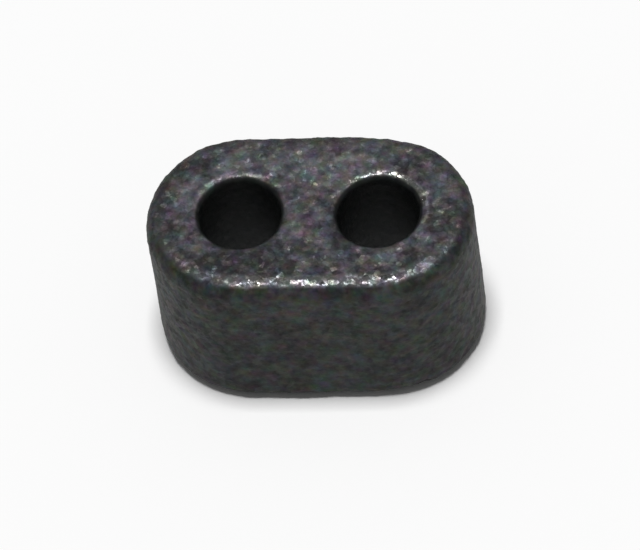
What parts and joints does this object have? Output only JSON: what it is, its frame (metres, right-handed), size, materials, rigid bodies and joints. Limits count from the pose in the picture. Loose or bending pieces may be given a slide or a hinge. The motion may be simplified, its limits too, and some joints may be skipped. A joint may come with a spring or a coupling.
{
  "type": "two-hole ferrite core",
  "caption": "Small ferrite block with half-round ends and parallel wire holes right through it, wound with wire as a balun or wideband transformer.",
  "frame": {"origin": "centre of the lower end face, midway between the two wire holes", "axes": "+X across the two wire holes, +Y through the thin way of the block, +Z along the wire holes, up from the end face that it stands on"},
  "size_m": [0.007, 0.0042, 0.0039],
  "materials": {
    "ferrite": "fired and tumbled, dark grey, fine grain with small bright crystals, polished on the worn edges"
  },
  "bodies": {
    "root": {"ferrite_core": "ferrite"}
  },
  "joints": []
}
